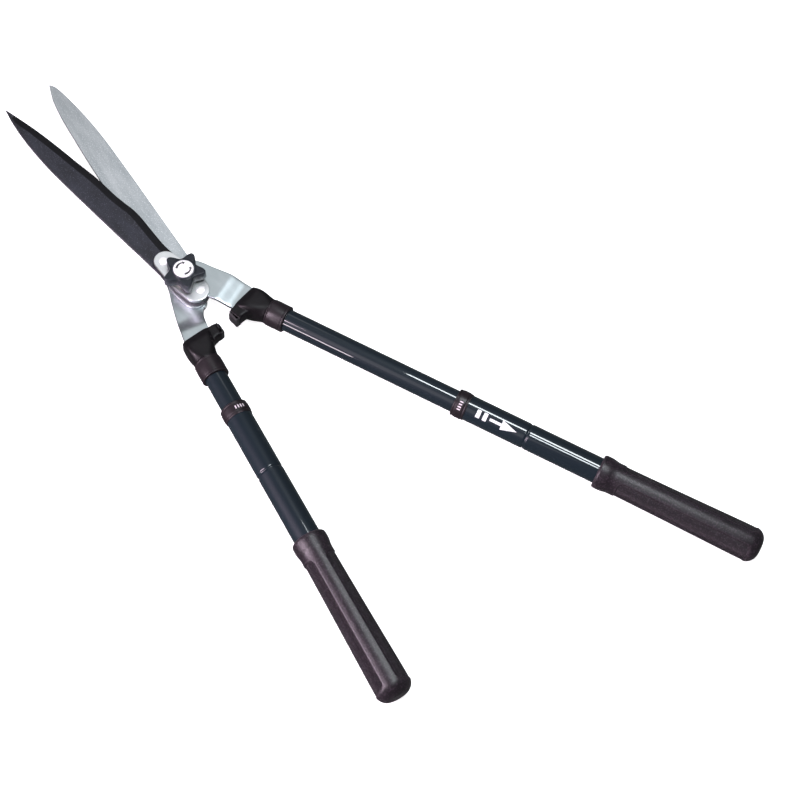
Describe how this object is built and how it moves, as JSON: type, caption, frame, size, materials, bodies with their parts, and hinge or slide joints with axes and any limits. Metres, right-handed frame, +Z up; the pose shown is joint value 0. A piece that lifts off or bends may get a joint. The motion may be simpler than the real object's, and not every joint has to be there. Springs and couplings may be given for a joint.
{
  "type": "telescopic hedge shears",
  "caption": "Hand hedge shears with one wavy and one plain blade on a knob-adjusted pivot, and telescopic tube handles with twist locks and moulded grips.",
  "frame": {"origin": "on the pivot axis, on the flat underside of the pivot bolt's head, level with the undersides of both grips", "axes": "+X runs from the pivot between the two handles, the blades point to -X, +Z is up through the pivot to the knob, +Y is the side of the front arm's handle"},
  "size_m": [0.8653, 0.3632, 0.041],
  "materials": {
    "dark_coated_steel": "satin dark non-stick coating with a glossier ground strip",
    "ground_steel": "ground flat, fine cross grain",
    "tang_steel": "brushed, satin",
    "plate_steel": "bright satin",
    "rivet_steel": "polished",
    "zinc_steel": "zinc plated",
    "bronze": "plain",
    "nylon": "matte natural",
    "knob_plastic": "satin slate black",
    "disc_plastic": "white with two printed arrows",
    "socket_plastic": "satin plum black",
    "collar_plastic": "satin plum black",
    "bumper_rubber": "matte",
    "inner_tube_paint": "glossy very dark teal",
    "outer_tube_paint": "glossy very dark teal",
    "grip_plastic": "soft satin plum black with knurled sides"
  },
  "bodies": {
    "rear_arm": {"rear_blade": "ground_steel", "rear_tang": "tang_steel", "rear_plate": "plate_steel", "rear_rivets": "rivet_steel", "pivot_bolt": "zinc_steel", "bolt_washer": "zinc_steel", "rear_socket": "socket_plastic", "rear_bumper": "bumper_rubber", "rear_socket_collar": "collar_plastic", "rear_tang_wedge": "nylon", "rear_socket_pin": "zinc_steel", "rear_inner_tube": "inner_tube_paint", "rear_end_stop": "nylon"},
    "front_arm": {"front_blade": "dark_coated_steel", "front_tang": "tang_steel", "front_plate": "plate_steel", "front_rivets": "rivet_steel", "pivot_sleeve": "bronze", "spring_washer": "zinc_steel", "front_socket": "socket_plastic", "front_bumper": "bumper_rubber", "front_socket_collar": "collar_plastic", "front_tang_wedge": "nylon", "front_socket_pin": "zinc_steel", "front_inner_tube": "inner_tube_paint", "front_end_stop": "nylon"},
    "washer": {"thrust_washer": "nylon"},
    "knob": {"knob": "knob_plastic", "knob_insert": "bronze", "knob_disc": "disc_plastic"},
    "front_handle": {"front_outer_tube": "outer_tube_paint", "front_guide_bush": "nylon", "front_collet": "nylon", "front_tube_plug": "nylon", "front_grip": "grip_plastic"},
    "front_lock": {"front_lock_collar": "collar_plastic"},
    "rear_handle": {"rear_outer_tube": "outer_tube_paint", "rear_guide_bush": "nylon", "rear_collet": "nylon", "rear_tube_plug": "nylon", "rear_grip": "grip_plastic"},
    "rear_lock": {"rear_lock_collar": "collar_plastic"}
  },
  "joints": [
    {"name": "blade_pivot", "type": "hinge", "parent": "rear_arm", "child": "front_arm", "pos_m": [0, 0, 0], "axis": [0, 0, 1], "range_deg": [-12.2, 60]},
    {"name": "knob_lift", "type": "slide", "parent": "rear_arm", "child": "washer", "axis": [0, 0, 1], "range_m": [0, 0.00125]},
    {"name": "knob_turn", "type": "hinge", "parent": "washer", "child": "knob", "pos_m": [0, 0, 0.03], "axis": [0, 0, 1], "range_deg": [0, 360]},
    {"name": "front_slide", "type": "slide", "parent": "front_arm", "child": "front_handle", "axis": [0.9588, 0.284, 0], "range_m": [-0.148, 0]},
    {"name": "front_twist", "type": "hinge", "parent": "front_handle", "child": "front_lock", "pos_m": [0.28435, 0.09633, 0.0171], "axis": [0.9588, 0.284, 0], "range_deg": [0, 90]},
    {"name": "rear_slide", "type": "slide", "parent": "rear_arm", "child": "rear_handle", "axis": [0.9573, -0.289, 0], "range_m": [0, 0.148]},
    {"name": "rear_twist", "type": "hinge", "parent": "rear_handle", "child": "rear_lock", "pos_m": [0.14246, -0.06442, 0.0171], "axis": [0.9573, -0.289, 0], "range_deg": [0, 90]}
  ],
  "couplings": [
    {"joint": "knob_lift", "follows": "knob_turn", "m_per_rad": 0.00019894}
  ]
}
